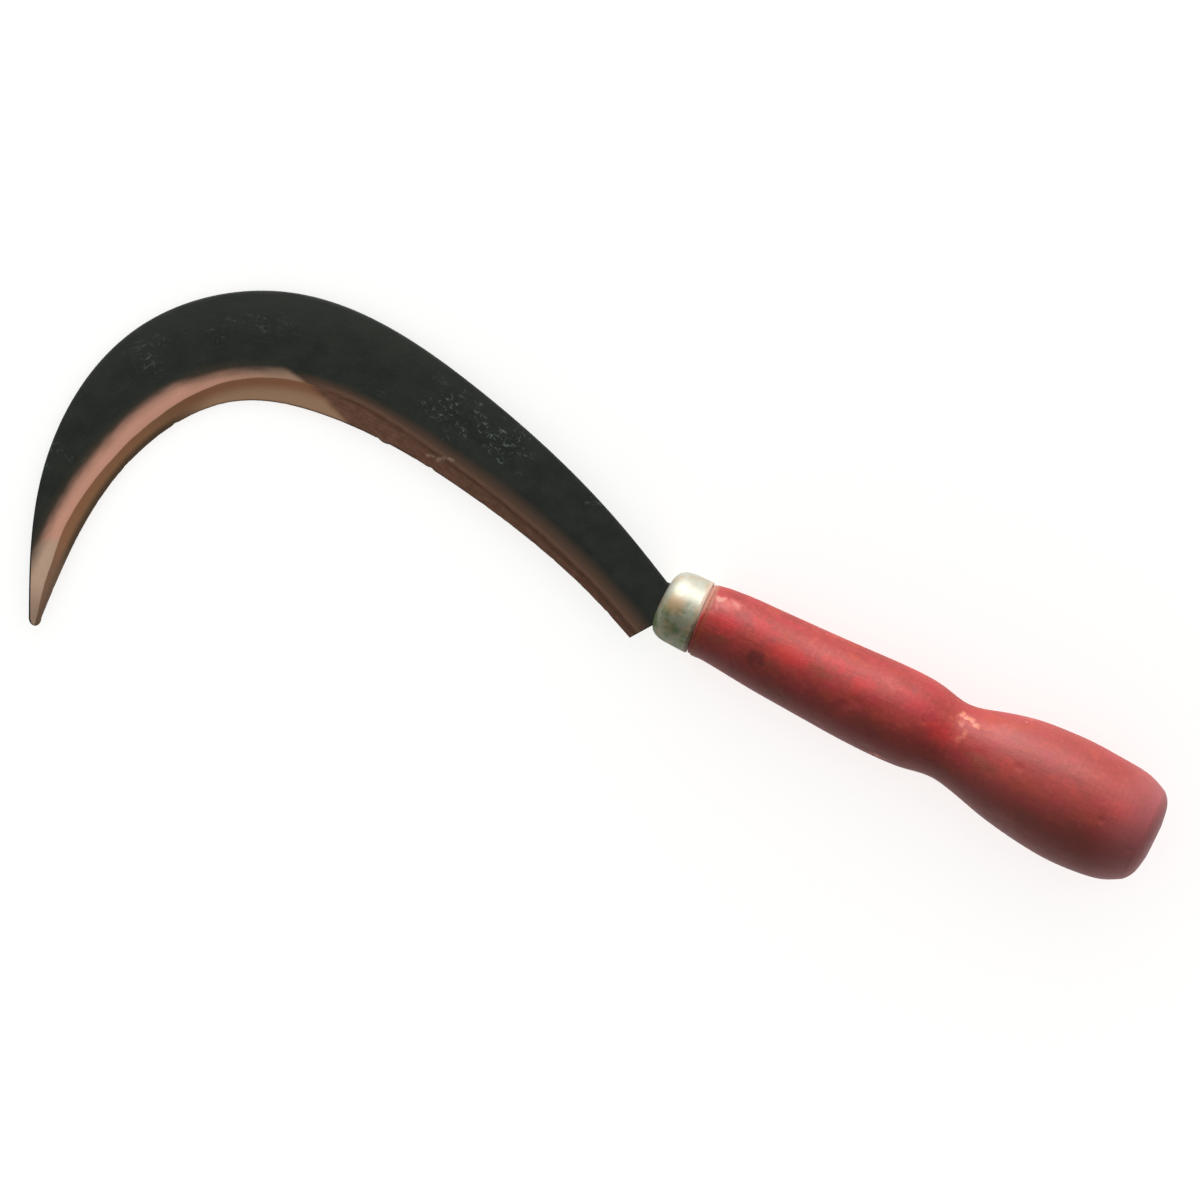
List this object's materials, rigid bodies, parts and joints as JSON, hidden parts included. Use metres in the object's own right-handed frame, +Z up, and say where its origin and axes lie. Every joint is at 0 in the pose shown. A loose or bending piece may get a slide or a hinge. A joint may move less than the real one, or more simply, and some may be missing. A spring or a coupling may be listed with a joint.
{
  "type": "hand sickle",
  "caption": "Rigid hand sickle: a hooked steel blade ground along its inner edge, its tang driven through a cap ferrule into a turned, painted wooden handle.",
  "frame": {"origin": "middle of the bounding box's underside, on the surface that the sickle lies on", "axes": "+Z up with the sickle lying on its side, +X from the blade to the butt of the handle, +Y to the blade's back"},
  "size_m": [0.3266, 0.1192, 0.0353],
  "materials": {
    "blade_steel": "black forge-scaled faces, brown heat tint and a tan ground bevel along the inner edge",
    "ferrule_steel": "satin plated steel, lightly tarnished with olive and tan tints",
    "painted_wood": "worn semi-gloss red paint over turned pale hardwood, rubbed through at the neck and collar"
  },
  "bodies": {
    "root": {"blade": "blade_steel", "ferrule": "ferrule_steel", "handle": "painted_wood"}
  },
  "joints": []
}
